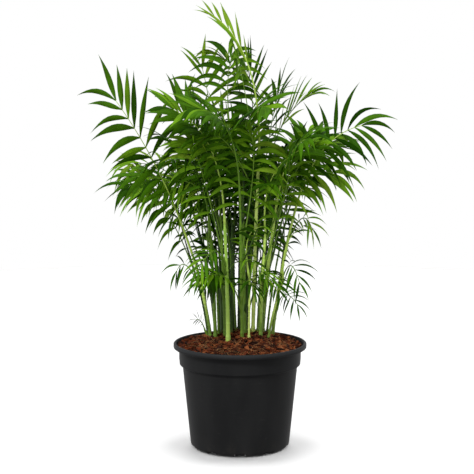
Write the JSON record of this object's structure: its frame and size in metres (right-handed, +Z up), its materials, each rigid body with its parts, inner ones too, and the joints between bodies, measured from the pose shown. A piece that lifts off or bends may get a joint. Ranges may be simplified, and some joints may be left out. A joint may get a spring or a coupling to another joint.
{
  "type": "potted parlor palm",
  "caption": "Clumping parlor palm with upright green canes and arching feather-shaped fronds, in a round black nursery pot filled with bark.",
  "frame": {"origin": "centre of the pot's flat underside, on the surface it stands on", "axes": "+Z up through the pot and the plant, -Y towards the viewer of the front, +X to that viewer's right"},
  "size_m": [0.4308, 0.3999, 0.6484],
  "materials": {
    "pot_plastic": "moulded black plastic with a slight sheen",
    "potting_bark": "moist shredded bark and coir",
    "cane_green": "smooth yellow-green stem",
    "leaf_green": "satin green leaf"
  },
  "bodies": {
    "root": {"cane_01": "cane_green", "cane_02": "cane_green", "cane_03": "cane_green", "cane_04": "cane_green", "cane_05": "cane_green", "cane_06": "cane_green", "cane_07": "cane_green", "cane_08": "cane_green", "cane_09": "cane_green", "cane_10": "cane_green", "cane_11": "cane_green", "cane_12": "cane_green", "cane_13": "cane_green", "cane_14": "cane_green", "cane_15": "cane_green", "cane_16": "cane_green", "cane_17": "cane_green", "frond_01": "leaf_green", "frond_02": "leaf_green", "frond_03": "leaf_green", "frond_04": "leaf_green", "frond_05": "leaf_green", "frond_06": "leaf_green", "frond_07": "leaf_green", "frond_08": "leaf_green", "frond_09": "leaf_green", "frond_10": "leaf_green", "frond_11": "leaf_green", "frond_12": "leaf_green", "frond_13": "leaf_green", "frond_14": "leaf_green", "frond_15": "leaf_green", "frond_16": "leaf_green", "frond_17": "leaf_green", "frond_18": "leaf_green", "frond_19": "leaf_green", "frond_20": "leaf_green", "frond_21": "leaf_green", "frond_22": "leaf_green", "frond_23": "leaf_green", "frond_24": "leaf_green", "frond_25": "leaf_green", "frond_26": "leaf_green", "frond_27": "leaf_green", "frond_28": "leaf_green", "frond_29": "leaf_green", "frond_30": "leaf_green", "frond_31": "leaf_green", "frond_32": "leaf_green", "frond_33": "leaf_green", "frond_34": "leaf_green", "frond_35": "leaf_green", "frond_36": "leaf_green", "frond_37": "leaf_green", "frond_38": "leaf_green", "frond_39": "leaf_green", "frond_40": "leaf_green", "frond_41": "leaf_green", "pot": "pot_plastic", "soil": "potting_bark"}
  },
  "joints": []
}
